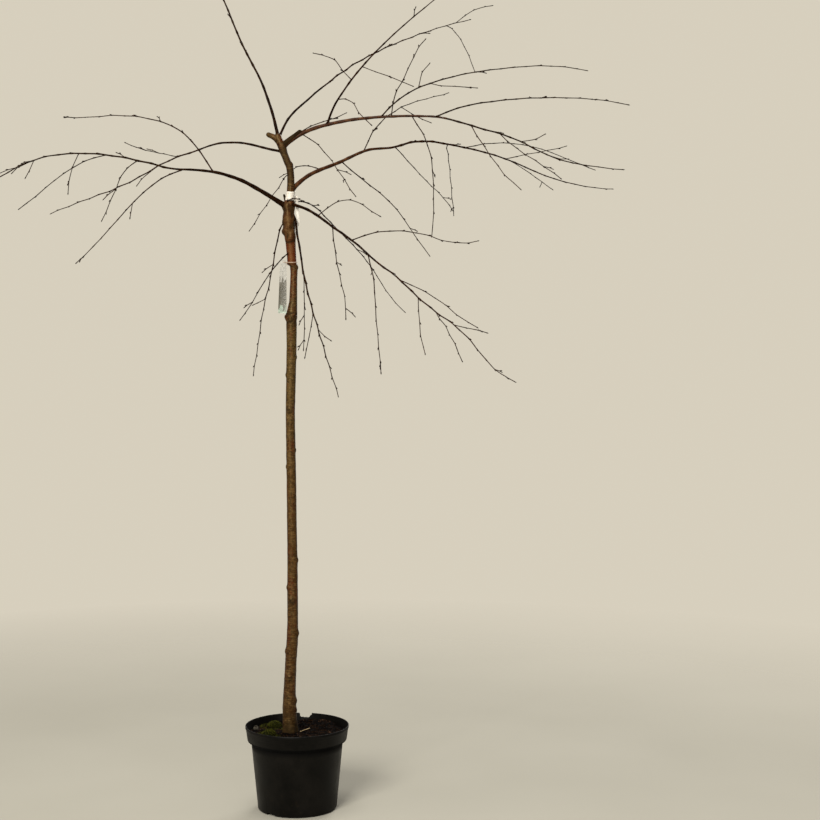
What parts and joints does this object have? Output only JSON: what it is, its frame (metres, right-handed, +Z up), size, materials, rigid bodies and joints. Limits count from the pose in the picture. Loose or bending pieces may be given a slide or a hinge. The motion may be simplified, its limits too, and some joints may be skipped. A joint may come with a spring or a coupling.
{
  "type": "potted silver birch",
  "caption": "Young weeping birch, grafted on a straight stem and bare of leaves, standing in a round nursery pot.",
  "frame": {"origin": "centre of the pot's flat underside, on the surface that the pot stands on", "axes": "+Z up along the stem; +X to the right and -Y to the front of the tree as it is usually looked at"},
  "size_m": [1.5361, 0.9065, 2.0953],
  "materials": {
    "pot_plastic": "near-black moulded plastic, scuffed, with a soft sheen",
    "compost": "moist dark compost",
    "moss": "olive moss",
    "stone": "small grey chip",
    "trunk_bark": "smooth olive-brown bark with pale pores, red-brown above the graft",
    "bough_bark": "smooth red-brown to dark brown bark",
    "twig_bark": "dark grey-brown twigs with small buds",
    "grafting_tape": "white matt tape",
    "label_plastic": "thin milky plastic, no lettering",
    "label_tie": "thin pale tie"
  },
  "bodies": {
    "root": {"pot": "pot_plastic", "compost": "compost", "moss_back": "moss", "moss_front": "moss", "stone": "stone", "trunk": "trunk_bark", "grafting_tape": "grafting_tape", "label_tie": "label_tie", "label_tag": "label_plastic", "bough_top": "bough_bark", "bough_back_top": "bough_bark", "bough_left_low": "bough_bark", "bough_left_high": "bough_bark", "bough_right_high": "bough_bark", "bough_rising": "bough_bark", "bough_right_mid": "bough_bark", "bough_right_low": "bough_bark", "bough_front": "bough_bark", "twigs_top": "twig_bark", "twigs_back_top": "twig_bark", "twigs_left_low": "twig_bark", "twigs_left_rising": "twig_bark", "twigs_left_weeping": "twig_bark", "twigs_left_high": "twig_bark", "twigs_rising": "twig_bark", "twigs_rising_under": "twig_bark", "twigs_stub": "twig_bark", "twigs_right_front": "twig_bark", "twigs_right_up": "twig_bark", "twigs_right_hanging": "twig_bark", "twigs_right_far": "twig_bark", "twigs_right_high": "twig_bark", "twigs_inner_weeping": "twig_bark", "twigs_mid_rising": "twig_bark", "twigs_back_left": "twig_bark", "twigs_mid_weeping": "twig_bark", "twigs_right_mid": "twig_bark", "twigs_low_side": "twig_bark", "twigs_low_hanging": "twig_bark", "twigs_low_out": "twig_bark", "twigs_low_curtain": "twig_bark", "twigs_right_low": "twig_bark", "twigs_back_right": "twig_bark", "twigs_back": "twig_bark", "twigs_front_left": "twig_bark", "twigs_front": "twig_bark"}
  },
  "joints": []
}
